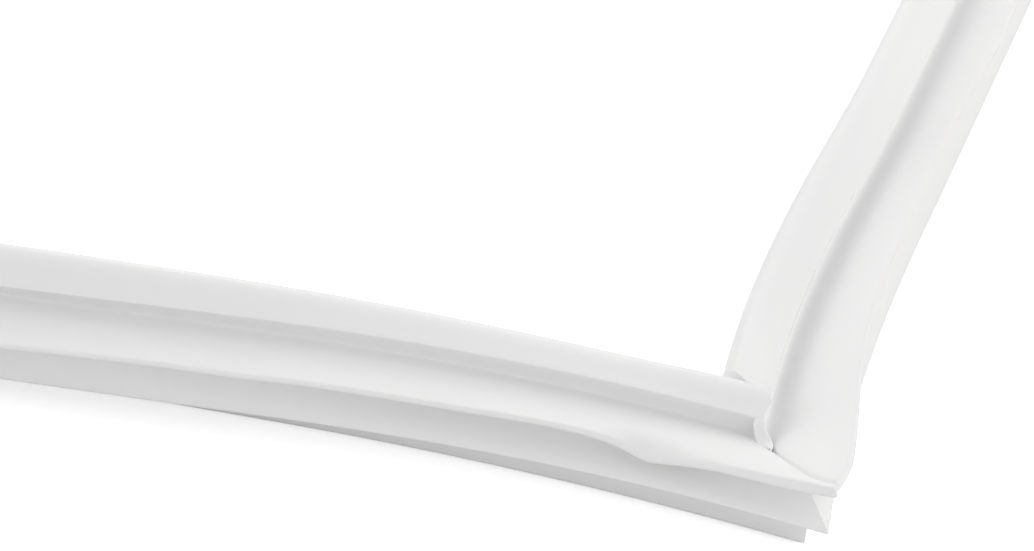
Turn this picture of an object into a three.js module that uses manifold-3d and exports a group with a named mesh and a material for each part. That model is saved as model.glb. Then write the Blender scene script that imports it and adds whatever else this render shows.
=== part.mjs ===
import * as THREE from 'three';
import { mergeVertices } from 'three/addons/utils/BufferGeometryUtils.js';
import Module from 'manifold-3d';

/*
 * Refrigerator door gasket: one closed loop of soft extruded PVC, its four
 * corners cut at 45 degrees and welded. It lies free with the retainer dart
 * down, so the sides bow inwards and lean outwards between the corners.
 * Four flexible magnet strips lie loose in the pocket under the sealing face.
 *
 * Millimetres, Z up. X and Y are the width and the length of the door.
 * A section point is (inset, height): the inset runs inwards from the outer
 * edge of the lip at a corner, the height upwards from the tip of the dart.
 */

// The loop, measured over the lips at the corners.
const LOOP = { width: 430, length: 560 };

// How each side bends inwards: slope at the corner, and how far it reaches.
const BOW = { slope: 0.183, reach: 113 };

// How far each side leans outwards at its middle, and where it gets there.
const LEAN_START = 10;
const LEAN_ACROSS = { angle: 32, reach: LOOP.width / 2 };
const LEAN_ALONG = { angle: 14.7, reach: 120 };

// Distances from a corner at which the section is placed along a side.
const STATIONS = [0, 1.5, 4, 10, 18, 26, 33, 40, 52, 75, 101, 128, 158];

// Retainer dart that is pushed into the groove of the door liner.
const DART = {
  inset: 9.3,
  noseRadius: 1.5,
  depth: 7.6,
  outerFlare: 0.65,
  barbHeight: 4.5,
  barbReach: 1.4,
  barbDrop: 0.3,
  rootFillet: 0.6,
  rootInset: 0.1,
};

// Flat base that bears on the liner.
const BASE = { outer: 3, inner: 22.7, thickness: 1, edge: 0.4, innerEdge: 0.7 };

// Slanted outer wall of the hollow, from the base up to the lip.
const WALL = { topInset: 9.7, topHeight: 8.4, thickness: 0.9 };

// Magnet pocket. Heights are above the underside of the base.
const POCKET = {
  edgeInset: 16.3,
  edgeHeight: 11,
  width: 9.7,
  faceRise: 0.85,
  cornerRadius: 3.4,
  heelInset: 0.7,
  heelHeight: 7.3,
  floorHeight: 7.48,
  floorRise: 0.65,
  undercut: 0.85,
  wall: 0.78,
};

// The rounded inner corner of the pocket, as angles of its arc.
const CROWN = { from: 98, to: -8, facets: 5, innerFacets: 2, innerHeel: 0.8 };

// Groove between the pocket and the lip.
const GROOVE = { inset: 15.9, height: 7.15, width: 0.7, innerReach: 1.6 };

// Sealing lip on the outside. Its curve is read from 0 at the groove to 1.
const LIP = {
  tipInset: 4,
  tipHeight: 12.15,
  thickness: 1.2,
  arch: -0.35,
  archAt: 0.55,
  foot: 0.08,
  upper: [0.08, 0.3, 0.52, 0.76],
  lower: [0.55, 0.76, 0.97],
  edge: 0.97,
  hollowTo: 0.52,
};

// Fold on the inside that lets the pocket move.
const BELLOWS = {
  foldInInset: 22.4,
  foldInHeight: 4.7,
  foldOutInset: 24.4,
  foldOutHeight: 2.1,
  thickness: 0.85,
};

// At a weld the lip is held out flat, and its corner is rounded.
const FLARE = { reach: 4, length: 48 };
const LIP_CORNER = { cut: 1.75, next: 0.35 };

// The lip droops near the corners of the two shorter sides.
const DROOP = { depth: 2.6, start: 27, hold: 78, end: 150 };

// One wave in the edge of the lip, beside the front right corner.
const WAVE = { down: 1.9, out: 1.7, distance: 33, spread: 5 };

// Flexible magnet strip, with its play in the pocket.
const MAGNET = { width: 5.3, thickness: 1.9, play: 0.45, firstStation: 3 };

// Air holes through the base and the floor of the pocket.
const VENT = { inset: 19.4, radius: 1, distance: 114, sides: 8, below: 0.8, above: 1.5 };

// Rounds of the search for the place where a line meets the mitre.
const MITRE_ROUNDS = 40;

const HALF_STEPS = STATIONS.length;
const STEPS = 2 * HALF_STEPS;
const UNDERSIDE = DART.depth;

const point = (inset, height) => new THREE.Vector2(inset, height);
const above = (inset, height) => point(inset, UNDERSIDE + height);

/** Ease from 0 to 1 as x runs over the span from start to end. */
const ease = (x, start, end) => THREE.MathUtils.smoothstep(x, start, end);

/** Points on an arc, angles in degrees, both ends included. */
function arc(centre, radius, from, to, count) {
  const start = THREE.MathUtils.degToRad(from);
  const end = THREE.MathUtils.degToRad(to);
  const curve = new THREE.EllipseCurve(
    centre.x, centre.y, radius, radius, start, end, end < start,
  );
  return curve.getPoints(count);
}

/** The line from a to b, moved to its right by a distance. */
function parallel(a, b, distance) {
  const along = b.clone().sub(a).normalize();
  const shift = point(along.y, -along.x).multiplyScalar(distance);
  return [a.clone().add(shift), b.clone().add(shift)];
}

/** Where two lines cross. */
function crossing([a, b], [c, d]) {
  const r = b.clone().sub(a);
  const s = d.clone().sub(c);
  const t = c.clone().sub(a).cross(s) / r.cross(s);
  return a.clone().add(r.multiplyScalar(t));
}

/** Upper side of the lip, from the groove outwards to the tip. */
function lipCurve() {
  const groove = above(GROOVE.inset, GROOVE.height);
  const tip = above(LIP.tipInset, LIP.tipHeight);
  const middle = groove.clone().lerp(tip, LIP.archAt);
  middle.y += LIP.arch;
  return new THREE.QuadraticBezierCurve(groove, middle, tip);
}

/** Centre of the rounded inner corner of the pocket. */
function pocketCorner() {
  const inset = POCKET.edgeInset + POCKET.width - POCKET.cornerRadius;
  const height = POCKET.edgeHeight + POCKET.faceRise - POCKET.cornerRadius;
  return above(inset, height);
}

/** Lower inner end of the pocket, where the bellows begins. */
function pocketHeel() {
  return above(POCKET.edgeInset + POCKET.width - POCKET.heelInset, POCKET.heelHeight);
}

/** Floor line of the space inside the pocket. */
function pocketFloor() {
  const height = UNDERSIDE + POCKET.floorHeight;
  const start = point(POCKET.edgeInset, height);
  const end = point(POCKET.edgeInset + POCKET.width, height + POCKET.floorRise);
  return [start, end];
}

/** Outer outline of the dart, from the inner to the outer root. */
function dartOutline() {
  const { inset, noseRadius, barbHeight, barbReach, rootFillet, outerFlare } = DART;
  const nose = point(inset, noseRadius);
  const stem = inset + noseRadius;
  const root = stem + DART.rootInset;
  return [
    point(stem + barbReach + rootFillet, UNDERSIDE),
    point(root, UNDERSIDE - rootFillet),
    point(root, barbHeight),
    point(stem + barbReach, barbHeight - DART.barbDrop),
    ...arc(nose, noseRadius, 0, -180, 4),
    point(inset - noseRadius - outerFlare, UNDERSIDE),
  ];
}

/** Outer outline of the whole section, counterclockwise. */
function outerOutline() {
  const lip = lipCurve();
  const upper = LIP.upper.map((t) => lip.getPoint(t));
  const below = (t, depth) => {
    const along = lip.getTangent(t);
    return lip.getPoint(t).addScaledVector(point(-along.y, along.x), depth);
  };
  const lower = LIP.lower.map((t) => below(t, LIP.thickness));
  const corner = pocketCorner();
  const edge = above(POCKET.edgeInset, POCKET.edgeHeight);
  const grooveBottom = above(GROOVE.inset + GROOVE.width, GROOVE.height);
  const undercut = point(edge.x + POCKET.undercut, (edge.y + 2 * grooveBottom.y) / 3);
  const wallTop = above(WALL.topInset, WALL.topHeight);
  return [
    lip.getPoint(LIP.edge),
    ...upper.reverse(),
    grooveBottom,
    undercut,
    edge,
    ...arc(corner, POCKET.cornerRadius, CROWN.from, CROWN.to, CROWN.facets),
    pocketHeel(),
    above(BELLOWS.foldInInset, BELLOWS.foldInHeight),
    above(BELLOWS.foldOutInset, BELLOWS.foldOutHeight),
    above(BASE.inner + BASE.innerEdge, BASE.edge),
    above(BASE.inner, 0),
    ...dartOutline(),
    above(BASE.outer + BASE.edge, 0),
    above(BASE.outer, BASE.edge),
    wallTop,
    ...lower,
    below(1, 0.5 * LIP.thickness),
  ].reverse();
}

/** Space inside the pocket, in which the magnet strip lies. */
function pocketSpace() {
  const edge = above(POCKET.edgeInset, POCKET.edgeHeight);
  const corner = pocketCorner();
  const inner = POCKET.cornerRadius - POCKET.wall;
  const floor = pocketFloor();
  const faceEnd = point(corner.x, corner.y + POCKET.cornerRadius);
  const ceiling = parallel(edge, faceEnd, POCKET.wall);
  const outerWall = [
    point(edge.x + POCKET.undercut + POCKET.wall, floor[0].y),
    point(edge.x + 0.5 * POCKET.undercut + POCKET.wall, edge.y),
  ];
  const heel = crossing(
    [point(corner.x + CROWN.innerHeel * inner, floor[0].y), point(corner.x + inner, corner.y)],
    floor,
  );
  return [
    crossing(outerWall, floor),
    crossing(outerWall, ceiling),
    ...arc(corner, inner, 90, 0, CROWN.innerFacets),
    heel,
  ];
}

/** Space inside the hollow below the pocket and the lip. */
function hollowSpace() {
  const lip = lipCurve();
  const wallTop = above(WALL.topInset, WALL.topHeight);
  const grooveOuter = lip.getPoint(LIP.foot);
  const grooveInner = above(GROOVE.inset + GROOVE.innerReach, GROOVE.height);
  const foldIn = above(BELLOWS.foldInInset, BELLOWS.foldInHeight);
  const foldOut = above(BELLOWS.foldOutInset, BELLOWS.foldOutHeight);
  const floorEnd = pocketFloor()[1];
  const underFloor = [
    point(grooveInner.x, grooveInner.y - LIP.thickness),
    point(floorEnd.x, floorEnd.y - POCKET.wall),
  ];
  const sides = [
    parallel(above(BASE.outer, BASE.edge), wallTop, WALL.thickness),
    parallel(lip.getPoint(LIP.hollowTo), grooveOuter, LIP.thickness),
    parallel(grooveOuter, grooveInner, LIP.thickness),
    underFloor,
    parallel(pocketHeel(), foldIn, BELLOWS.thickness),
    parallel(foldIn, foldOut, BELLOWS.thickness),
    parallel(foldOut, above(BASE.inner + BASE.innerEdge, BASE.edge), BELLOWS.thickness),
    parallel(above(BASE.inner, 0), above(BASE.outer, 0), BASE.thickness),
  ];
  return sides.map((side, i) => crossing(side, sides[(i + 1) % sides.length]));
}

/** Section of the magnet strip, a true rectangle on the floor of the pocket. */
function magnetOutline() {
  const floor = pocketFloor();
  const along = floor[1].clone().sub(floor[0]).normalize();
  const across = point(-along.y, along.x);
  const space = pocketSpace();
  const start = space[0].clone();
  start.addScaledVector(along, MAGNET.play).addScaledVector(across, MAGNET.play);
  const end = start.clone().addScaledVector(along, MAGNET.width);
  const up = across.multiplyScalar(MAGNET.thickness);
  return [start, end, end.clone().add(up), start.clone().add(up)];
}

/** Inward offset of the outer edge, and its slope, at a distance from a corner. */
function bow(distance) {
  const x = Math.min(distance, BOW.reach);
  return {
    offset: BOW.slope * (x - (x * x) / (2 * BOW.reach)),
    slope: BOW.slope * (1 - x / BOW.reach),
  };
}

/** Where a line at an inset meets the mitre, as a distance from the corner. */
function mitre(inset) {
  let distance = inset;
  for (let i = 0; i < MITRE_ROUNDS; i += 1) {
    const { offset, slope } = bow(distance);
    distance = offset + (inset * (1 + slope)) / Math.hypot(1, slope);
  }
  return distance;
}

// The lip falls about the groove, and its part beyond the wall stretches.
const LIP_HINGE = above(GROOVE.inset, GROOVE.height);
const LIP_SPAN = GROOVE.inset - LIP.tipInset;
const WALL_TOP = above(WALL.topInset, WALL.topHeight);

/** How much a section point takes of the lip's stretch and of its fall. */
function lipShares(inset, height) {
  if (inset >= LIP_HINGE.x) return { stretch: 0, fall: 0 };
  const fall = ease(height, UNDERSIDE + BASE.thickness, WALL_TOP.y);
  if (height <= WALL_TOP.y) return { stretch: 0, fall };
  const free = (WALL_TOP.x - inset) / (WALL_TOP.x - LIP.tipInset);
  return { stretch: THREE.MathUtils.clamp(free, 0, 1), fall };
}

/** The four sides, in the order of a walk round the loop. */
const SIDES = [
  { name: 'front', length: LOOP.width, turn: 0, lean: LEAN_ACROSS, droop: true, wave: true },
  { name: 'right', length: LOOP.length, turn: 1, lean: LEAN_ALONG },
  { name: 'back', length: LOOP.width, turn: 2, lean: LEAN_ACROSS, droop: true },
  { name: 'left', length: LOOP.length, turn: 3, lean: LEAN_ALONG },
];

/** Stretch and droop of the lip's edge at a distance from the nearer corner. */
function lipBend(side, distance, atEnd) {
  let out = FLARE.reach * (1 - ease(distance, 0, FLARE.length));
  let down = 0;
  if (side.droop) {
    const falls = ease(distance, 0, DROOP.start);
    down += DROOP.depth * falls * (1 - ease(distance, DROOP.hold, DROOP.end));
  }
  if (side.wave && atEnd) {
    const wave = Math.exp(-(((distance - WAVE.distance) / WAVE.spread) ** 2));
    down += WAVE.down * wave;
    out += WAVE.out * wave;
  }
  if (distance < STATIONS[1]) {
    out -= THREE.MathUtils.lerp(LIP_CORNER.cut, LIP_CORNER.next, distance / STATIONS[1]);
  } else if (distance < STATIONS[2]) {
    const t = (distance - STATIONS[1]) / (STATIONS[2] - STATIONS[1]);
    out -= THREE.MathUtils.lerp(LIP_CORNER.next, 0, t);
  }
  return { out, turn: Math.asin(down / (LIP_SPAN + out)) };
}

/** Place a section point at a distance from one end of a side. */
function place(side, inset, height, distance, atEnd) {
  const half = side.length / 2;
  const { stretch, fall } = lipShares(inset, height);
  const bend = lipBend(side, distance, atEnd);
  const free = point(inset - bend.out * stretch, height);
  free.rotateAround(LIP_HINGE, bend.turn * fall);

  const reached = ease(distance, LEAN_START, side.lean.reach);
  const lean = THREE.MathUtils.degToRad(side.lean.angle) * reached;
  const pivot = point(DART.inset, DART.noseRadius);
  const leaned = free.clone().rotateAround(pivot, lean);

  const start = mitre(free.x);
  const along = start + (distance / half) * (half - start);
  const { offset, slope } = bow(along);
  const unit = Math.hypot(1, slope);
  const run = along - (leaned.x * slope) / unit;
  const inwards = offset + leaned.x / unit;

  const x = atEnd ? half - run : run - half;
  const depth = (side.turn % 2 ? LOOP.width : LOOP.length) / 2;
  const local = new THREE.Vector3(x, inwards - depth, leaned.y);
  return local.applyAxisAngle(new THREE.Vector3(0, 0, 1), (side.turn * Math.PI) / 2);
}

/** Distance from the nearer corner of a step, and which end that is. */
function station(side, step) {
  const atEnd = step > HALF_STEPS;
  const index = atEnd ? STEPS - step : step;
  const distance = index === HALF_STEPS ? side.length / 2 : STATIONS[index];
  return { distance, atEnd };
}

/** Bare triangles of a geometry, without its normals and texture coordinates. */
function bare(geometry) {
  const plain = geometry.index ? geometry.toNonIndexed() : geometry;
  plain.deleteAttribute('normal');
  plain.deleteAttribute('uv');
  return plain.getAttribute('position').array;
}

/**
 * Turn the diagonals of the quads from an index on, so that the facets inside
 * the hollow spaces run parallel to those outside and the walls stay even.
 */
function turnDiagonals(positions, from) {
  for (let i = from; i < positions.length; i += 18) {
    positions.copyWithin(i + 6, i + 12, i + 15);
    positions.copyWithin(i + 9, i, i + 3);
  }
}

/** Extrude a section along one side and bend it into place. */
function runAlong(side, outline, holes, firstStep, capped) {
  const shape = new THREE.Shape(outline);
  shape.holes = holes.map((hole) => new THREE.Path(hole));
  const steps = STEPS - 2 * firstStep;
  const geometry = new THREE.ExtrudeGeometry(shape, { depth: steps, steps, bevelEnabled: false });
  const walls = geometry.groups.find((group) => group.materialIndex === 1);
  const all = bare(geometry);
  const positions = capped ? all : all.slice(3 * walls.start, 3 * (walls.start + walls.count));
  if (holes.length > 0) turnDiagonals(positions, 18 * outline.length * steps);
  for (let i = 0; i < positions.length; i += 3) {
    const step = Math.round(positions[i + 2]) + firstStep;
    const { distance, atEnd } = station(side, step);
    const placed = place(side, positions[i], positions[i + 1], distance, atEnd);
    placed.toArray(positions, i);
  }
  return positions;
}

/** Join loose triangles into one indexed surface. */
function weld(parts) {
  const total = parts.reduce((sum, part) => sum + part.length, 0);
  const positions = new Float32Array(total);
  let at = 0;
  parts.forEach((part) => {
    positions.set(part, at);
    at += part.length;
  });
  const geometry = new THREE.BufferGeometry();
  geometry.setAttribute('position', new THREE.BufferAttribute(positions, 3));
  return mergeVertices(geometry, 1e-3);
}

/** Round cutter for one air hole, bent with the side that it goes through. */
function ventCutter(side) {
  const low = UNDERSIDE - VENT.below;
  const high = UNDERSIDE + POCKET.floorHeight + VENT.above;
  const cutter = new THREE.CylinderGeometry(VENT.radius, VENT.radius, high - low, VENT.sides);
  const positions = bare(cutter);
  for (let i = 0; i < positions.length; i += 3) {
    const height = positions[i + 1] + (low + high) / 2;
    const inset = VENT.inset + positions[i];
    const distance = VENT.distance + positions[i + 2];
    place(side, inset, height, distance, false).toArray(positions, i);
  }
  return weld([positions]);
}

const wasm = await Module();
wasm.setup();

/** Solid for cutting, from an indexed surface. */
function toSolid(geometry) {
  return new wasm.Manifold(new wasm.Mesh({
    numProp: 3,
    vertProperties: Float32Array.from(geometry.getAttribute('position').array),
    triVerts: Uint32Array.from(geometry.index.array),
  }));
}

/** Surface from a cut solid. */
function fromSolid(solid) {
  const { vertProperties, triVerts } = solid.getMesh();
  const geometry = new THREE.BufferGeometry();
  geometry.setAttribute('position', new THREE.BufferAttribute(vertProperties, 3));
  geometry.setIndex(new THREE.BufferAttribute(triVerts, 1));
  return geometry;
}

/** A named part with its own material. */
function named(name, geometry, look) {
  geometry.computeVertexNormals();
  const mesh = new THREE.Mesh(geometry, new THREE.MeshStandardMaterial(look));
  mesh.name = name;
  return mesh;
}

/** The whole profile loop with its air holes. */
function gasketGeometry() {
  const outline = outerOutline();
  const holes = [pocketSpace(), hollowSpace()];
  const sides = SIDES.map((side) => runAlong(side, outline, holes, 0, false));
  const loop = toSolid(weld(sides));
  const cut = SIDES.reduce((solid, side) => solid.subtract(toSolid(ventCutter(side))), loop);
  return fromSolid(cut);
}

/** One magnet strip, a little shorter than its side. */
function magnetGeometry(side) {
  return weld([runAlong(side, magnetOutline(), [], MAGNET.firstStation, true)]);
}

const group = new THREE.Group();
group.name = 'refrigerator_door_gasket';
group.add(named('gasket_profile', gasketGeometry(), {
  color: 0xe8e8e9, roughness: 0.42, metalness: 0,
}));
SIDES.forEach((side) => {
  group.add(named(`magnet_strip_${side.name}`, magnetGeometry(side), {
    color: 0x3d3936, roughness: 0.75, metalness: 0,
  }));
});

export default group;
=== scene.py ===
"""Refrigerator door gasket: the dressed loop, its magnets and a plain studio.

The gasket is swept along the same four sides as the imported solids, with a
finer section and the true run of its sealing lip. Sizes are in millimetres and
angles in degrees, unless a name says otherwise; meshes are made in metres.
"""

import logging
import math
from bisect import bisect_right
from dataclasses import dataclass, field
from enum import Enum

import bmesh
import bpy
from mathutils import Matrix, Vector

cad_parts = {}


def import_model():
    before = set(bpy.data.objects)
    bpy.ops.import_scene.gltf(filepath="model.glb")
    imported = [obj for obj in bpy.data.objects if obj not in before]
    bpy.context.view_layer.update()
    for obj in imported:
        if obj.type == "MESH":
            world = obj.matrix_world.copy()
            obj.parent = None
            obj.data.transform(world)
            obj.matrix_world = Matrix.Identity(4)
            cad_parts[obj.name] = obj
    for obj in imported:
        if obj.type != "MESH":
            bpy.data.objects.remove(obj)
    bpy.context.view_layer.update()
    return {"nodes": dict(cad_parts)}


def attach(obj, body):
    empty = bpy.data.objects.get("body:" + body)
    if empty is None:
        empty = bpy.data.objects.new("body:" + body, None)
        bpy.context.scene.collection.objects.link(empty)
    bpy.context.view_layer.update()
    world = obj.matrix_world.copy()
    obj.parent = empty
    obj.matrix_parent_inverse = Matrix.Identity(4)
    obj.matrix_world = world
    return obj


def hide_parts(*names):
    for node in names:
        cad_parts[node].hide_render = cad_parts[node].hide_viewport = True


LOG = logging.getLogger("gasket")
MM = 0.001
MITRE_ROUNDS = 24

Point = tuple[float, float]
Colour = tuple[float, float, float]


class Side(Enum):
    """The four sides, in the order of a walk round the loop."""

    FRONT = 0
    RIGHT = 1
    BACK = 2
    LEFT = 3

    @property
    def across(self) -> bool:
        """Whether this is one of the two shorter sides."""
        return self in (Side.FRONT, Side.BACK)


class Arm(Enum):
    """Which half of a side a station is on."""

    START = "start"
    END = "end"


def ease(x: float, start: float, end: float) -> float:
    """Smooth step from 0 to 1.

    Args:
        x: Where to read the step.
        start: Where it leaves 0.
        end: Where it reaches 1.

    Returns:
        A number from 0 to 1.
    """
    t = min(max((x - start) / (end - start), 0.0), 1.0)
    return t * t * (3.0 - 2.0 * t)


def turned(p: Point, centre: Point, angle: float) -> Point:
    """Turn a section point about a centre.

    Args:
        p: The point.
        centre: What it turns about.
        angle: Radians, positive from inset towards height.

    Returns:
        The turned point.
    """
    x, y = p[0] - centre[0], p[1] - centre[1]
    c, s = math.cos(angle), math.sin(angle)
    return centre[0] + x * c - y * s, centre[1] + x * s + y * c


@dataclass(frozen=True)
class Curve:
    """A smooth run of values through knots, flat beyond both ends."""

    knots: tuple[Point, ...]

    def slope(self, i: int) -> float:
        """Slope at knot i, limited so that the curve never overshoots.

        Args:
            i: Index of the knot.

        Returns:
            Change of the value over one unit of distance.
        """
        if i == 0 or i == len(self.knots) - 1:
            return 0.0
        (x0, y0), (x1, y1), (x2, y2) = self.knots[i - 1 : i + 2]
        before, after = (y1 - y0) / (x1 - x0), (y2 - y1) / (x2 - x1)
        if before * after <= 0.0:
            return 0.0
        return 2.0 * before * after / (before + after)

    def at(self, x: float) -> float:
        """Value at a distance.

        Args:
            x: Distance from the corner.

        Returns:
            The value there.
        """
        places = [k[0] for k in self.knots]
        if x <= places[0]:
            return self.knots[0][1]
        if x >= places[-1]:
            return self.knots[-1][1]
        i = bisect_right(places, x) - 1
        (x0, y0), (x1, y1) = self.knots[i], self.knots[i + 1]
        h = x1 - x0
        t = (x - x0) / h
        a, b = self.slope(i) * h, self.slope(i + 1) * h
        rise = (3.0 - 2.0 * t) * t * t
        return y0 + (y1 - y0) * rise + a * t * (1.0 - t) ** 2 + b * t * t * (t - 1.0)


@dataclass(frozen=True)
class LipRun:
    """How the free part of the lip lies along one half of a side.

    out is how far its edge is stretched outwards, down how far the whole lip
    falls about the groove, and dip how far its edge alone bends down.
    """

    out: Curve
    down: Curve
    dip: Curve = Curve(((0.0, 0.0), (1.0, 0.0)))


@dataclass(frozen=True)
class Layout:
    """The plan of the loop: its sides bow inwards and lean outwards."""

    width: float = 430.0
    length: float = 560.0
    bow_slope: float = 0.183
    bow_reach: float = 113.0
    lean_start: float = 10.0
    lean_across: Point = (32.0, 215.0)
    lean_along: Point = (14.7, 120.0)
    pivot: Point = (9.3, 1.5)

    def half(self, side: Side) -> float:
        """Distance from a corner to the middle of a side, without its bow."""
        return (self.width if side.across else self.length) / 2.0

    def bow(self, distance: float) -> tuple[float, float]:
        """Inward offset of the outer edge.

        Args:
            distance: Distance from the corner.

        Returns:
            The offset, and its slope.
        """
        x = min(distance, self.bow_reach)
        offset = self.bow_slope * (x - x * x / (2.0 * self.bow_reach))
        return offset, self.bow_slope * (1.0 - x / self.bow_reach)

    def mitre(self, inset: float) -> float:
        """Where a line at an inset meets the mitre.

        Args:
            inset: Inset of the line from the outer edge.

        Returns:
            Distance from the corner.
        """
        distance = inset
        for _ in range(MITRE_ROUNDS):
            offset, slope = self.bow(distance)
            distance = offset + inset * (1.0 + slope) / math.hypot(1.0, slope)
        return distance

    def lean(self, side: Side, distance: float) -> float:
        """Outward lean of the section, in radians.

        Args:
            side: The side it is on.
            distance: Distance from the nearer corner.

        Returns:
            The angle.
        """
        angle, reach = self.lean_across if side.across else self.lean_along
        return math.radians(angle) * ease(distance, self.lean_start, reach)

    def place(self, side: Side, arm: Arm, free: Point, distance: float) -> Vector:
        """Bend a section point into the loop.

        Args:
            side: The side it is on.
            arm: Which half of that side.
            free: The point as (inset, height), before the side leans.
            distance: Distance from the nearer corner.

        Returns:
            The place in metres.
        """
        half = self.half(side)
        inset, height = turned(free, self.pivot, self.lean(side, distance))
        start = self.mitre(free[0])
        along = start + distance / half * (half - start)
        offset, slope = self.bow(along)
        unit = math.hypot(1.0, slope)
        run = along - inset * slope / unit
        inwards = offset + inset / unit
        x = half - run if arm is Arm.END else run - half
        depth = (self.length if side.across else self.width) / 2.0
        spot = Vector((x, inwards - depth, height))
        return (Matrix.Rotation(side.value * math.pi / 2.0, 3, "Z") @ spot) * MM


@dataclass(frozen=True)
class Corner:
    """One corner of a section, and how it is rounded."""

    inset: float
    height: float
    round: float = 0.0
    facets: int = 2


@dataclass(frozen=True)
class Section:
    """The extruded section, with a rounding at each corner.

    The inset runs inwards from the outer edge of the lip at a corner of the
    loop, the height upwards from the tip of the dart.
    """

    lip_tip: Point = (4.0, 19.75)
    groove: Point = (15.9, 14.75)
    lip_arch: float = -0.35
    lip_arch_at: float = 0.55
    lip_thickness: float = 1.2
    start_above: float = 0.4
    step: float = 1.7

    def lip_line(self, t: float) -> tuple[Point, Point]:
        """Upper side of the lip.

        Args:
            t: 0 at the groove, 1 at the edge.

        Returns:
            The point there, and the unit direction outwards.
        """
        (gx, gy), (tx, ty) = self.groove, self.lip_tip
        at = self.lip_arch_at
        mx, my = gx + at * (tx - gx), gy + at * (ty - gy) + self.lip_arch
        a, b, c = (1 - t) ** 2, 2 * t * (1 - t), t * t
        p = (a * gx + b * mx + c * tx, a * gy + b * my + c * ty)
        dx = (1 - t) * (mx - gx) + t * (tx - mx)
        dy = (1 - t) * (my - gy) + t * (ty - my)
        size = math.hypot(dx, dy)
        return p, (dx / size, dy / size)

    def lip_side(self, t: float, depth: float) -> Corner:
        """A corner on the lip, at a depth below its upper side."""
        p, d = self.lip_line(t)
        return Corner(p[0] - d[1] * depth, p[1] + d[0] * depth)

    def skin_corners(self) -> list[Corner]:
        """Outside of the section, from the lip's edge inwards.

        Returns:
            The corners in order: lip, groove, bulb, neck, base, dart and wall.
        """
        edge = self.lip_thickness
        tip = self.lip_side(1.0, 0.0)
        heel = self.lip_side(1.0, edge)
        return [
            Corner(tip.inset, tip.height, 0.5, 3),
            *[self.lip_side(t, 0.0) for t in (0.88, 0.76, 0.64, 0.52, 0.41, 0.3, 0.19)],
            self.lip_side(0.08, 0.0),
            Corner(16.2, 14.62, 0.5, 3),
            Corner(17.0, 14.8, 0.5, 3),
            Corner(16.95, 16.3),
            Corner(16.3, 18.6, 0.28, 3),
            Corner(17.4, 18.72),
            Corner(18.5, 18.9),
            Corner(19.6, 19.14),
            Corner(20.8, 19.38),
            Corner(22.2, 19.52),
            Corner(23.5, 19.4),
            Corner(24.6, 18.95),
            Corner(25.5, 18.15),
            Corner(25.98, 17.1),
            Corner(26.0, 16.0),
            Corner(25.4, 14.9, 0.8, 3),
            Corner(22.4, 12.3, 0.7, 4),
            Corner(24.4, 9.7, 0.8, 4),
            Corner(23.4, 8.0, 0.3, 2),
            Corner(22.7, 7.6, 0.2, 2),
            Corner(12.8, 7.6, 0.6, 2),
            Corner(10.9, 7.0, 0.5, 2),
            Corner(10.9, 4.5, 0.25, 2),
            Corner(12.2, 4.2, 0.3, 2),
            Corner(10.9, 0.15, 1.35, 5),
            Corner(7.75, 0.15, 1.25, 5),
            Corner(7.15, 7.6, 0.15, 2),
            Corner(3.0, 7.6, 0.32, 3),
            Corner(3.3, 8.4),
            Corner(6.4, 12.06),
            Corner(9.7, 16.0, 0.6, 3),
            self.lip_side(0.66, edge),
            self.lip_side(0.82, edge),
            Corner(heel.inset, heel.height, 0.5, 3),
        ]

    def pocket_corners(self) -> list[Corner]:
        """Corners of the space in which the magnet lies.

        Returns:
            The corners in order, from the lowest one beside the groove.
        """
        return [
            Corner(17.92, 15.19),
            Corner(17.58, 17.99),
            Corner(22.6, 18.67),
            Corner(24.45, 17.9),
            Corner(25.22, 16.05),
            Corner(25.01, 15.66),
        ]

    def hollow_corners(self) -> list[Corner]:
        """Corners of the space below the pocket and the lip.

        Returns:
            The corners in order, from the lowest one behind the wall.
        """
        return [
            Corner(4.68, 8.6),
            Corner(10.52, 15.57),
            Corner(14.55, 13.97),
            Corner(17.46, 13.54),
            Corner(23.65, 14.56),
            Corner(21.25, 12.41),
            Corner(23.38, 9.64),
            Corner(22.77, 8.6),
        ]

    def rounded(self, corners: list[Corner]) -> list[Point]:
        """Round the corners of an outline.

        Args:
            corners: The outline's corners, in order.

        Returns:
            The points of the rounded outline, from the first corner on.
        """
        bm = bmesh.new()
        verts = [bm.verts.new((c.inset, c.height, 0.0)) for c in corners]
        bm.faces.new(verts)
        for vert, corner in zip(verts, corners):
            if corner.round > 0.0:
                bmesh.ops.bevel(
                    bm,
                    geom=[vert],
                    offset=corner.round,
                    offset_type="OFFSET",
                    segments=corner.facets,
                    profile=0.5,
                    affect="VERTICES",
                    material=-1,
                    clamp_overlap=True,
                )
        bm.faces.ensure_lookup_table()
        points = [(loop.vert.co.x, loop.vert.co.y) for loop in bm.faces[0].loops]
        bm.free()
        first = corners[0]
        start = min(
            range(len(points)),
            key=lambda i: math.dist(points[i], (first.inset, first.height + self.start_above)),
        )
        return points[start:] + points[:start]

    def spaced(self, points: list[Point]) -> list[Point]:
        """Divide the longer stretches of an outline.

        Args:
            points: The outline's points, in order.

        Returns:
            The outline with no stretch longer than step.
        """
        made: list[Point] = []
        for i, a in enumerate(points):
            b = points[(i + 1) % len(points)]
            count = max(1, math.ceil(math.dist(a, b) / self.step))
            for k in range(count):
                t = k / count
                made.append((a[0] + t * (b[0] - a[0]), a[1] + t * (b[1] - a[1])))
        return made


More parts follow.
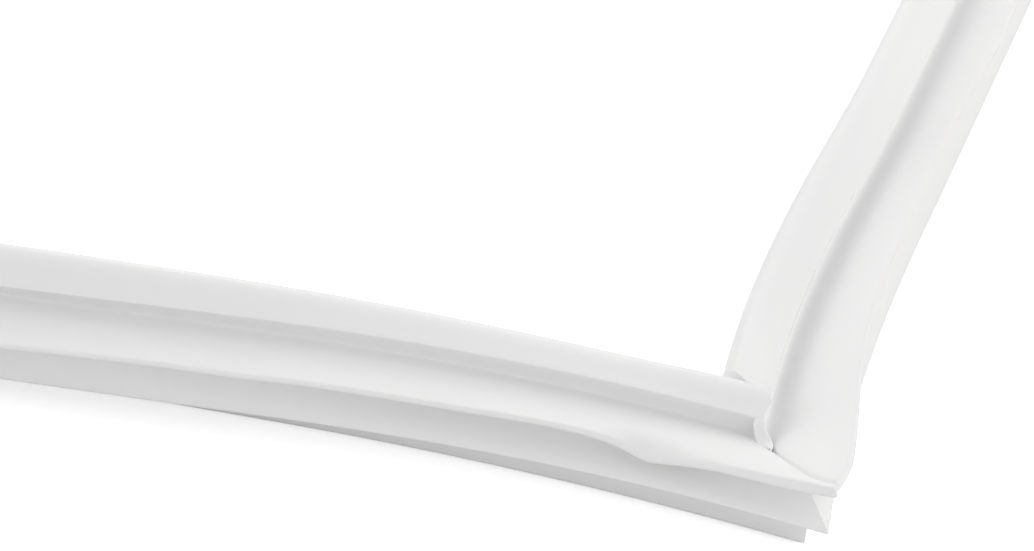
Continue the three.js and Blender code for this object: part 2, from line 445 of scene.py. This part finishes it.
@dataclass(frozen=True)
class Lip:
    """How the lip lies round the loop, held by the welds at its corners.

    It turns about hinge, the line at the bottom of the groove. The wall below
    it takes a growing part of that turn from base_top up to wall_top.
    """

    hinge: Point = (15.9, 14.75)
    root: float = 9.7
    tip: Point = (4.0, 19.75)
    base_top: float = 8.6
    wall_top: float = 16.0
    dip_power: float = 3.0
    underside: Point = (0.1, 1.0)
    swell: float = 0.75
    swell_length: float = 60.0
    front: LipRun = LipRun(
        out=Curve(
            ((0, 2.1), (0.8, 2.9), (1.6, 3.5), (4, 3.88), (8, 3.7), (13, 3.28), (19, 2.62),
             (24, 2.0), (29, 1.38), (34, 0.82), (39, 0.37), (44, 0.08), (50, 0.0), (215, 0.0))
        ),
        down=Curve(
            ((0, -0.3), (3.1, -0.35), (6.6, 0.0), (12, 0.7), (19, 1.5), (26, 2.2), (34, 2.4),
             (44, 2.35), (58, 2.2), (70, 2.3), (82, 2.05), (92, 1.8), (102, 1.47), (111, 1.45),
             (121, 1.05), (130, 0.7), (140, 0.5), (152, 0.3), (175, 0.2), (215, 0.0))
        ),
        dip=Curve(
            ((23, 0.0), (26.2, 0.4), (28.1, 0.85), (30.8, 1.6), (33.4, 2.4), (35.1, 2.8),
             (37, 2.5), (39.8, 1.35), (44.2, 0.5), (50, 0.1), (56, 0.0))
        ),
    )
    right: LipRun = LipRun(
        out=Curve(
            ((0, 2.0), (1.4, 2.35), (3.2, 2.75), (5.4, 3.15), (7.5, 3.5), (10, 3.85), (13, 4.05),
             (17.5, 3.95), (23.2, 3.55), (29.5, 2.9), (35.6, 2.1), (43, 1.4), (51.6, 0.6),
             (65, 0.35), (80, 0.3), (94, -0.45), (108, -1.1), (120, -1.25), (133, -0.85),
             (146, -0.5), (160, 0.0), (168, -0.5), (185, -0.3), (230, 0.0), (280, 0.0))
        ),
        down=Curve(((0, -0.3), (20, 0.0), (55, -0.75), (90, -1.5), (150, -1.3), (200, -0.5),
                    (280, 0.0))),
    )
    plain_across: LipRun = LipRun(
        out=Curve(((0, 2.2), (0.8, 3.1), (2, 3.7), (4, 3.9), (24, 2.0), (48, 0.0), (215, 0.0))),
        down=Curve(((0, 0.0), (8, 0.9), (27, 2.6), (78, 2.6), (114, 1.3), (150, 0.0), (215, 0.0))),
    )
    plain_along: LipRun = LipRun(
        out=Curve(((0, 2.2), (0.8, 3.1), (2, 3.7), (4, 3.9), (24, 2.0), (48, 0.0), (280, 0.0))),
        down=Curve(((0, 0.0), (60, 0.1), (110, -0.6), (160, 0.0), (280, 0.0))),
    )

    def run(self, side: Side, arm: Arm) -> LipRun:
        """The lip's run on one half of a side.

        Args:
            side: The side it is on.
            arm: Which half of that side.

        Returns:
            The measured run beside the front right corner, a plain one elsewhere.
        """
        if side is Side.FRONT and arm is Arm.END:
            return self.front
        if side is Side.RIGHT and arm is Arm.START:
            return self.right
        return self.plain_across if side.across else self.plain_along

    def share(self, p: Point) -> float:
        """How much of the lip's stretch a section point takes.

        Args:
            p: The point of the straight section.

        Returns:
            0 up to the top of the wall, 1 at the lip's edge.
        """
        if p[1] < self.wall_top:
            return 0.0
        return min(max((self.root - p[0]) / (self.root - self.tip[0]), 0.0), 1.0)

    def bend(self, side: Side, arm: Arm, p: Point, distance: float) -> Point:
        """Stretch and bend a section point with the lip.

        Args:
            side: The side it is on.
            arm: Which half of that side.
            p: The point of the straight section.
            distance: Distance from the nearer corner.

        Returns:
            The point in the bent section.
        """
        run = self.run(side, arm)
        if p[0] >= self.hinge[0] or p[1] < self.base_top:
            return p
        held = ease(p[1], self.base_top, self.wall_top)
        out = run.out.at(distance)
        down = run.down.at(distance)
        turn = math.asin(down / (self.hinge[0] - self.tip[0] + out))
        share = self.share(p)
        line = self.hinge[1] + (self.tip[1] - self.hinge[1]) * (
            (self.hinge[0] - p[0]) / (self.hinge[0] - self.tip[0])
        )
        under = ease(line - p[1], *self.underside) * share
        lower = self.swell * (1.0 - ease(distance, 0.0, self.swell_length)) * under
        lower += run.dip.at(distance) * share**self.dip_power
        return turned((p[0] - out * share, p[1] - lower), self.hinge, turn * held)


@dataclass(frozen=True)
class Weld:
    """The front right weld, which was pressed askew.

    The front arm's bulb runs on past the mitre, and the right arm's lip comes
    forward over the front arm's. Each reach is given for the front arm and
    then for the right one.
    """

    bulb_rising: Point = (16.6, 20.5)
    bulb_falling: Point = (23.0, 26.2)
    bulb_heights: Point = (14.0, 17.5)
    bulb_shift: float = 4.6
    bulb_reach: Point = (14.0, 3.2)
    bulb_rise: float = 0.8
    rise_reach: float = 30.0
    lip_shift: Curve = Curve(
        ((4.0, 0.0), (4.8, 1.0), (6.0, 2.0), (8.0, 2.7), (11.0, 3.2), (14.0, 2.6), (16.4, 0.0))
    )
    lip_root: Point = (15.9, 14.0)
    lip_slope: float = 0.4
    lip_blend: float = 0.4
    lip_end: Point = (16.0, 17.0)
    lip_reach: Point = (6.0, 10.0)
    lip_rise: float = 0.12
    seam_depth: float = 0.3
    seam_width: float = 0.9

    def shift(self, side: Side, arm: Arm, p: Point, distance: float) -> Vector:
        """How far a point of the skin is pressed aside at the weld.

        Args:
            side: The side it is on.
            arm: Which half of that side.
            p: The point of the straight section.
            distance: Distance from the nearer corner.

        Returns:
            The shift in metres.
        """
        arms = [(Side.FRONT, Arm.END), (Side.RIGHT, Arm.START)]
        if (side, arm) not in arms:
            return Vector((0.0, 0.0, 0.0))
        which = arms.index((side, arm))
        bulb = ease(p[0], *self.bulb_rising) * (1.0 - ease(p[0], *self.bulb_falling))
        bulb *= ease(p[1], *self.bulb_heights)
        along = self.bulb_shift * bulb * (1.0 - ease(distance, 0.0, self.bulb_reach[which]))
        up = self.bulb_rise * bulb * (1.0 - ease(distance, 0.0, self.rise_reach))
        above = p[1] - self.lip_root[1] - self.lip_slope * (self.lip_root[0] - p[0])
        lip = ease(above, 0.0, self.lip_blend) * (1.0 - ease(p[0], *self.lip_end))
        held = lip * (1.0 - ease(distance, 0.0, self.lip_reach[which]))
        forward = self.lip_shift.at(p[0]) * held
        up += self.lip_rise * forward
        up -= self.seam_depth * lip * (1.0 - ease(distance, 0.0, self.seam_width))
        return Vector((along, -forward, up)) * MM


@dataclass
class GasketLoop:
    """The welded loop: its outer skin and the two spaces inside it.

    The first sections beside a corner stand at the distances in first. After
    them near and middle each hold a step and how far it is kept, and far is
    the step from there on.
    """

    layout: Layout = field(default_factory=Layout)
    section: Section = field(default_factory=Section)
    lip: Lip = field(default_factory=Lip)
    weld: Weld = field(default_factory=Weld)
    near: Point = (1.6, 60.0)
    middle: Point = (3.0, 170.0)
    far: float = 7.0
    first: tuple[float, ...] = (0.0, 0.35, 0.8, 1.4, 2.2, 3.1)
    last_gap: float = 2.0
    sharp_angle: float = 48.0

    def distances(self, side: Side) -> list[float]:
        """Distances from a corner at which the section is placed.

        Args:
            side: The side they are for.

        Returns:
            Distances from 0 up to the middle of the side.
        """
        made = list(self.first)
        half = self.layout.half(side)
        while made[-1] < half:
            at = made[-1]
            if at < self.near[1]:
                made.append(at + self.near[0])
            elif at < self.middle[1]:
                made.append(at + self.middle[0])
            else:
                made.append(at + self.far)
        made = [d for d in made if d < half - self.last_gap]
        return made + [half]

    def stations(self) -> list[tuple[Side, Arm, float]]:
        """Stations of a walk round the loop.

        Returns:
            Side, arm and distance of each, with the first one again at the end.
        """
        made = []
        for side in Side:
            steps = self.distances(side)
            made += [(side, Arm.START, d) for d in steps]
            made += [(side, Arm.END, d) for d in reversed(steps[1:-1])]
        return made + [(Side.FRONT, Arm.START, 0.0)]

    def skin(self, outline: list[Point], inside: bool) -> bmesh.types.BMesh:
        """Sweep an outline round the loop.

        Args:
            outline: Points of the section, in order.
            inside: Whether this is the wall of a space in the gasket.

        Returns:
            A closed skin in metres. Its texture coordinates run along the
            loop and round the section, in metres.
        """
        stations = self.stations()
        around, along = len(outline), len(stations) - 1
        ring = outline + outline[:1]
        gone = [0.0]
        for a, b in zip(ring, ring[1:]):
            gone.append(gone[-1] + math.dist(a, b) * MM)
        bm = bmesh.new()
        bm.loops.layers.uv.new("run")
        bmesh.ops.create_grid(bm, x_segments=along, y_segments=around, size=1.0, calc_uvs=True)
        layer = bm.loops.layers.uv["run"]
        places = {}
        for vert in bm.verts:
            i = round((vert.co.x + 1.0) / 2.0 * along)
            j = round((vert.co.y + 1.0) / 2.0 * around)
            places[vert] = (i, j)
        for vert, (i, j) in places.items():
            side, arm, distance = stations[i]
            bent = self.lip.bend(side, arm, ring[j], distance)
            vert.co = self.layout.place(side, arm, bent, distance)
            if not inside:
                vert.co += self.weld.shift(side, arm, ring[j], distance)
        travelled = self.travelled(stations)
        for face in bm.faces:
            for loop in face.loops:
                i, j = places[loop.vert]
                loop[layer].uv = (travelled[i], gone[j])
        bmesh.ops.remove_doubles(bm, verts=bm.verts[:], dist=1e-6)
        bmesh.ops.recalc_face_normals(bm, faces=bm.faces[:])
        if inside:
            bmesh.ops.reverse_faces(bm, faces=bm.faces[:])
        return bm

    def travelled(self, stations: list[tuple[Side, Arm, float]]) -> list[float]:
        """Distance walked up to each station.

        Args:
            stations: The stations of the walk.

        Returns:
            One distance in metres for each station.
        """
        made, gone = [], 0.0
        for side, arm, distance in stations[:-1]:
            half = self.layout.half(side)
            before = distance if arm is Arm.START else 2.0 * half - distance
            made.append((gone + before) * MM)
            if arm is Arm.END and distance == self.distances(side)[1]:
                gone += 2.0 * half
        return made + [gone * MM]

    def build(self) -> bpy.types.Object:
        """Make the loop as one object.

        Returns:
            The object, smooth shaded, at the origin.
        """
        section = self.section
        mesh = bpy.data.meshes.new("welded_gasket_loop")
        outer = section.spaced(section.rounded(section.skin_corners()))
        skins = [(outer, False)]
        for corners in (section.pocket_corners(), section.hollow_corners()):
            skins.append(([(c.inset, c.height) for c in corners], True))
        whole = bmesh.new()
        for outline, inside in skins:
            bm = self.skin(outline, inside)
            bm.to_mesh(mesh)
            bm.free()
            whole.from_mesh(mesh)
        for face in whole.faces:
            face.smooth = True
        whole.to_mesh(mesh)
        whole.free()
        mesh.set_sharp_from_angle(angle=math.radians(self.sharp_angle))
        piece = bpy.data.objects.new("welded_gasket_loop", mesh)
        bpy.context.scene.collection.objects.link(piece)
        LOG.info("loop: %d points round the section, %d faces", len(outer), len(mesh.polygons))
        return piece


@dataclass(frozen=True)
class WeldFlash:
    """The tongue of squeezed-out vinyl in the groove of the skew weld.

    Each row is one line across the tongue: its left and right ends, from the
    top corner of the bulb, as (across, towards the back, up).
    """

    anchor: Point = (16.3, 18.6)
    rows: tuple[tuple[tuple[float, float, float], tuple[float, float, float]], ...] = (
        ((-2.0, -0.2, -0.1), (0.0, 0.1, -0.1)),
        ((-1.9, -1.1, -1.6), (0.3, -0.9, -1.2)),
        ((-1.4, -2.0, -2.6), (1.2, -1.9, -2.0)),
        ((-0.6, -3.3, -2.9), (2.1, -2.9, -2.5)),
        ((0.9, -4.8, -2.5), (2.5, -4.3, -2.4)),
        ((2.2, -6.0, -1.9), (2.7, -5.9, -1.9)),
    )
    thickness: float = 0.45
    length: float = 7.0
    columns: int = 4
    swell: float = 0.35
    softness: float = 0.6

    def build(self, layout: Layout) -> bpy.types.Object:
        """Make the tongue.

        Args:
            layout: The plan of the loop.

        Returns:
            The object, at the origin.
        """
        corner = layout.place(Side.RIGHT, Arm.START, self.anchor, 0.0)
        across, down = self.columns, len(self.rows) - 1
        bm = bmesh.new()
        layer = bm.loops.layers.uv.new("run")
        bmesh.ops.create_grid(bm, x_segments=across, y_segments=down, size=1.0, calc_uvs=True)
        for face in bm.faces:
            for loop in face.loops:
                loop[layer].uv = loop[layer].uv * self.length * MM
        for vert in bm.verts:
            t = (vert.co.x + 1.0) / 2.0
            left, right = self.rows[round((vert.co.y + 1.0) / 2.0 * down)]
            swell = self.swell * math.sin(math.pi * t)
            spot = Vector(left).lerp(Vector(right), t) + Vector((0.0, -swell, swell))
            vert.co = corner + spot * MM
        bmesh.ops.recalc_face_normals(bm, faces=bm.faces[:])
        bmesh.ops.solidify(bm, geom=bm.faces[:], thickness=self.thickness * MM)
        bmesh.ops.subdivide_edges(
            bm, edges=bm.edges[:], cuts=1, use_grid_fill=True, smooth=self.softness
        )
        bmesh.ops.recalc_face_normals(bm, faces=bm.faces[:])
        mesh = bpy.data.meshes.new("weld_flash")
        for face in bm.faces:
            face.smooth = True
        bm.to_mesh(mesh)
        bm.free()
        piece = bpy.data.objects.new("weld_flash", mesh)
        bpy.context.scene.collection.objects.link(piece)
        LOG.info("weld flash: %d faces", len(mesh.polygons))
        return piece


class Nodes:
    """Short-hand for wiring one node tree."""

    def __init__(self, tree: bpy.types.NodeTree) -> None:
        """Keep the tree that the nodes go into."""
        self.tree = tree

    def add(self, kind: str, **values: object) -> bpy.types.Node:
        """Add a node.

        Args:
            kind: Blender's name of the node type.
            values: Properties of the node.

        Returns:
            The node.
        """
        node = self.tree.nodes.new(kind)
        for name, value in values.items():
            setattr(node, name, value)
        return node

    def link(self, source: bpy.types.NodeSocket, target: bpy.types.NodeSocket) -> None:
        """Join two sockets."""
        self.tree.links.new(source, target)

    def math(self, operation: str, a: object, b: object = 0.0) -> bpy.types.NodeSocket:
        """Add a Math node.

        Args:
            operation: Name of the operation.
            a: A socket or a number.
            b: A socket or a number.

        Returns:
            The output socket.
        """
        node = self.add("ShaderNodeMath", operation=operation)
        for i, value in enumerate((a, b)):
            if isinstance(value, bpy.types.NodeSocket):
                self.link(value, node.inputs[i])
            else:
                node.inputs[i].default_value = value
        return node.outputs[0]

    def tint(self, mask: bpy.types.NodeSocket, a: Colour, b: Colour) -> bpy.types.NodeSocket:
        """Blend two colours.

        Args:
            mask: Where the second colour shows.
            a: The first colour.
            b: The second colour.

        Returns:
            The blended colour.
        """
        node = self.add("ShaderNodeMix", data_type="RGBA")
        node.inputs["A"].default_value = (*a, 1.0)
        node.inputs["B"].default_value = (*b, 1.0)
        self.link(mask, node.inputs["Factor"])
        return node.outputs["Result"]

    def spread(self, mask: bpy.types.NodeSocket, limits: Point) -> bpy.types.NodeSocket:
        """Turn a mask into a range of values.

        Args:
            mask: A value from 0 to 1.
            limits: What 0 and 1 become.

        Returns:
            The value between the limits.
        """
        node = self.add("ShaderNodeMapRange")
        node.inputs["To Min"].default_value, node.inputs["To Max"].default_value = limits
        self.link(mask, node.inputs["Value"])
        return node.outputs["Result"]

    def relief(self, height: bpy.types.NodeSocket, depth: float) -> bpy.types.NodeSocket:
        """Turn a height into a normal.

        Args:
            height: The height.
            depth: How many metres a height of 1 is.

        Returns:
            The normal.
        """
        node = self.add("ShaderNodeBump")
        node.inputs["Distance"].default_value = depth
        self.link(height, node.inputs["Height"])
        return node.outputs["Normal"]


class Effect:
    """A shader node group with named inputs and outputs."""

    def __init__(self, name: str, inputs: dict[str, float], outputs: list[str]) -> None:
        """Make the group and its sockets.

        Args:
            name: Name of the group.
            inputs: Default value of each number that goes in.
            outputs: Names of the numbers that come out.
        """
        self.tree = bpy.data.node_groups.new(name, "ShaderNodeTree")
        face = self.tree.interface
        face.new_socket(name="Vector", in_out="INPUT", socket_type="NodeSocketVector")
        for label, value in inputs.items():
            socket = face.new_socket(name=label, in_out="INPUT", socket_type="NodeSocketFloat")
            socket.default_value = value
        for label in outputs:
            face.new_socket(name=label, in_out="OUTPUT", socket_type="NodeSocketFloat")
        self.nodes = Nodes(self.tree)
        self.entry = self.nodes.add("NodeGroupInput")
        self.exit = self.nodes.add("NodeGroupOutput")


class Streaks(Effect):
    """Fine lines that the extrusion die leaves along the run."""

    def __init__(self) -> None:
        """Build the group."""
        super().__init__("die_streaks", {"Across": 2600.0, "Along": 9.0}, ["Value"])
        n = self.nodes
        split = n.add("ShaderNodeSeparateXYZ")
        join = n.add("ShaderNodeCombineXYZ")
        noise = n.add("ShaderNodeTexNoise", noise_dimensions="2D")
        noise.inputs["Scale"].default_value = 1.0
        noise.inputs["Detail"].default_value = 3.0
        n.link(self.entry.outputs["Vector"], split.inputs[0])
        for axis, label in (("X", "Along"), ("Y", "Across")):
            scaled = n.math("MULTIPLY", split.outputs[axis], self.entry.outputs[label])
            n.link(scaled, join.inputs[axis])
        n.link(join.outputs[0], noise.inputs["Vector"])
        n.link(noise.outputs["Fac"], self.exit.inputs["Value"])


class Mottle(Effect):
    """Soft uneven patches, with a finer grain over them."""

    def __init__(self) -> None:
        """Build the group."""
        super().__init__("mottle", {"Scale": 60.0, "Grain": 900.0}, ["Patches", "Grain"])
        n = self.nodes
        for label, size, detail in (("Patches", "Scale", 3.0), ("Grain", "Grain", 2.0)):
            noise = n.add("ShaderNodeTexNoise")
            noise.inputs["Detail"].default_value = detail
            n.link(self.entry.outputs["Vector"], noise.inputs["Vector"])
            n.link(self.entry.outputs[size], noise.inputs["Scale"])
            n.link(noise.outputs["Fac"], self.exit.inputs[label])


class Effects:
    """The shared effects, each built once."""

    def __init__(self) -> None:
        """Build every group."""
        self.streaks = Streaks()
        self.mottle = Mottle()


@dataclass(frozen=True)
class SatinVinyl:
    """Soft white PVC, extruded: satin, faintly streaked along its run."""

    light: Colour = (0.83, 0.83, 0.83)
    dull: Colour = (0.81, 0.81, 0.812)
    roughness: Point = (0.36, 0.5)
    streak_height: float = 0.000012
    grain_height: float = 0.00001
    ior: float = 1.5

    def material(self, effects: Effects) -> bpy.types.Material:
        """Make the finish.

        Args:
            effects: The shared node groups.

        Returns:
            The material.
        """
        made = bpy.data.materials.new("satin_vinyl")
        made.use_nodes = True
        n = Nodes(made.node_tree)
        shader = made.node_tree.nodes["Principled BSDF"]
        place = n.add("ShaderNodeTexCoord")
        uv = n.add("ShaderNodeUVMap", uv_map="run")
        mottle = n.add("ShaderNodeGroup", node_tree=effects.mottle.tree)
        streaks = n.add("ShaderNodeGroup", node_tree=effects.streaks.tree)
        n.link(place.outputs["Object"], mottle.inputs["Vector"])
        n.link(uv.outputs["UV"], streaks.inputs["Vector"])
        tone = n.tint(mottle.outputs["Patches"], self.light, self.dull)
        n.link(tone, shader.inputs["Base Color"])
        rough = n.spread(streaks.outputs["Value"], self.roughness)
        n.link(rough, shader.inputs["Roughness"])
        height = n.math("MULTIPLY", streaks.outputs["Value"], self.streak_height)
        grain = n.math("MULTIPLY", mottle.outputs["Grain"], self.grain_height)
        n.link(n.relief(n.math("ADD", height, grain), 1.0), shader.inputs["Normal"])
        shader.inputs["IOR"].default_value = self.ior
        return made


@dataclass(frozen=True)
class MagnetRubber:
    """Dark flexible magnet: ferrite powder bound in rubber."""

    dark: Colour = (0.035, 0.032, 0.03)
    pale: Colour = (0.075, 0.07, 0.066)
    roughness: Point = (0.6, 0.85)
    grain_height: float = 0.00004

    def material(self, effects: Effects) -> bpy.types.Material:
        """Make the finish.

        Args:
            effects: The shared node groups.

        Returns:
            The material.
        """
        made = bpy.data.materials.new("magnet_rubber")
        made.use_nodes = True
        n = Nodes(made.node_tree)
        shader = made.node_tree.nodes["Principled BSDF"]
        place = n.add("ShaderNodeTexCoord")
        mottle = n.add("ShaderNodeGroup", node_tree=effects.mottle.tree)
        n.link(place.outputs["Object"], mottle.inputs["Vector"])
        tone = n.tint(mottle.outputs["Grain"], self.dark, self.pale)
        n.link(tone, shader.inputs["Base Color"])
        rough = n.spread(mottle.outputs["Patches"], self.roughness)
        n.link(rough, shader.inputs["Roughness"])
        bumps = n.relief(mottle.outputs["Grain"], self.grain_height)
        n.link(bumps, shader.inputs["Normal"])
        return made


@dataclass(frozen=True)
class FloorPaint:
    """Plain pale floor. Its glow is for the camera alone and lights nothing."""

    colour: Colour = (0.85, 0.85, 0.85)
    glow: float = 0.5
    roughness: float = 0.9
    gloss: float = 0.1

    def material(self) -> bpy.types.Material:
        """Make the finish.

        Returns:
            The material.
        """
        made = bpy.data.materials.new("pale_floor")
        made.use_nodes = True
        shader = made.node_tree.nodes["Principled BSDF"]
        shader.inputs["Base Color"].default_value = (*self.colour, 1.0)
        shader.inputs["Roughness"].default_value = self.roughness
        shader.inputs["Specular IOR Level"].default_value = self.gloss
        shader.inputs["Emission Color"].default_value = (1.0, 1.0, 1.0, 1.0)
        n = Nodes(made.node_tree)
        path = n.add("ShaderNodeLightPath")
        seen = n.math("MULTIPLY", path.outputs["Is Camera Ray"], self.glow)
        n.link(seen, shader.inputs["Emission Strength"])
        return made


@dataclass(frozen=True)
class Panel:
    """One soft light panel that faces the object."""

    name: str
    azimuth: float
    elevation: float
    distance: float
    width: float
    height: float
    radiance: float
    colour: Colour = (1.0, 0.985, 0.962)

    def build(self, target: Vector) -> bpy.types.Object:
        """Make the light.

        Args:
            target: The point on the floor that it faces, in metres.

        Returns:
            The light.
        """
        data = bpy.data.lights.new(self.name, "AREA")
        data.shape = "RECTANGLE"
        data.size, data.size_y = self.width, self.height
        data.color = self.colour
        data.energy = self.radiance * math.pi * self.width * self.height
        lamp = bpy.data.objects.new(self.name, data)
        a, e = math.radians(self.azimuth), math.radians(self.elevation)
        back = Vector((math.sin(a) * math.cos(e), -math.cos(a) * math.cos(e), math.sin(e)))
        lamp.location = target + back * self.distance
        lamp.rotation_euler = (-back).to_track_quat("-Z", "Y").to_euler()
        lamp.visible_camera = False
        bpy.context.scene.collection.objects.link(lamp)
        return lamp


@dataclass(frozen=True)
class Studio:
    """Floor, sky, lights and the camera at the picture's angle."""

    aim: tuple[float, float, float] = (130.34, -200.51, 0.0)
    azimuth: float = 17.23
    elevation: float = 32.83
    distance: float = 1072.4
    focal_pixels: float = 5611.6
    image_width: float = 1034.0
    sensor: float = 36.0
    clip: Point = (0.05, 50.0)
    floor_size: float = 8.0
    floor_depth: float = 0.00005
    sky: Colour = (0.9, 0.92, 1.0)
    sky_strength: float = 0.2
    lights: tuple[Panel, ...] = (
        Panel("back_low_panel", 180.0, 20.0, 1.6, 2.5, 1.0, 1.52),
        Panel("back_high_panel", 180.0, 50.0, 1.6, 2.5, 1.0, 0.46),
        Panel("left_low_panel", -90.0, 20.0, 1.6, 2.5, 1.0, 1.9),
        Panel("left_high_panel", -90.0, 50.0, 1.6, 2.5, 1.0, 0.64),
        Panel("right_low_panel", 90.0, 20.0, 1.6, 2.5, 1.0, 1.06),
        Panel("right_high_panel", 90.0, 50.0, 1.6, 2.5, 1.0, 1.46),
        Panel("front_panel", 0.0, 20.0, 1.6, 2.5, 1.0, 0.97),
    )

    def camera(self) -> None:
        """Make the camera and choose it."""
        data = bpy.data.cameras.new("camera")
        data.sensor_width = self.sensor
        data.lens = self.focal_pixels * self.sensor / self.image_width
        data.clip_start, data.clip_end = self.clip
        camera = bpy.data.objects.new("camera", data)
        a, e = math.radians(self.azimuth), math.radians(self.elevation)
        back = Vector((math.sin(a) * math.cos(e), -math.cos(a) * math.cos(e), math.sin(e)))
        camera.location = (Vector(self.aim) + back * self.distance) * MM
        camera.rotation_euler = (-back).to_track_quat("-Z", "Y").to_euler()
        bpy.context.scene.collection.objects.link(camera)
        bpy.context.scene.camera = camera

    def floor(self) -> bpy.types.Object:
        """Make the floor, just below the dart's tip.

        Returns:
            The floor.
        """
        bm = bmesh.new()
        bmesh.ops.create_grid(bm, x_segments=1, y_segments=1, size=self.floor_size / 2.0)
        bmesh.ops.translate(bm, verts=bm.verts[:], vec=(0.0, 0.0, -self.floor_depth))
        mesh = bpy.data.meshes.new("floor")
        bm.to_mesh(mesh)
        bm.free()
        mesh.materials.append(FloorPaint().material())
        floor = bpy.data.objects.new("floor", mesh)
        bpy.context.scene.collection.objects.link(floor)
        return floor

    def build(self) -> None:
        """Make the whole studio."""
        scene = bpy.context.scene
        scene.view_settings.view_transform = "Standard"
        world = bpy.data.worlds.new("sky")
        world.use_nodes = True
        background = world.node_tree.nodes["Background"]
        background.inputs["Color"].default_value = (*self.sky, 1.0)
        background.inputs["Strength"].default_value = self.sky_strength
        scene.world = world
        for light in self.lights:
            light.build(Vector(self.aim) * MM)
        self.floor()
        self.camera()


def main() -> None:
    """Load the frame, build the loop, its weld flash and the studio, and dress the magnet strips.
    """
    logging.basicConfig(level=logging.INFO, format="%(name)s: %(message)s")
    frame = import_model()
    effects = Effects()
    loop = GasketLoop()
    gasket = loop.build()
    vinyl = SatinVinyl().material(effects)
    gasket.data.materials.append(vinyl)
    flash = WeldFlash().build(loop.layout)
    flash.data.materials.append(vinyl)
    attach(flash, "root")
    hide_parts("gasket_profile")
    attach(gasket, "root")
    rubber = MagnetRubber().material(effects)
    strips = [node for name, node in frame["nodes"].items() if name.startswith("magnet_strip")]
    for strip in strips:
        strip.data.materials.clear()
        strip.data.materials.append(rubber)
    LOG.info("magnets: %d strips dressed", len(strips))
    Studio().build()


if __name__ == "__main__":
    main()
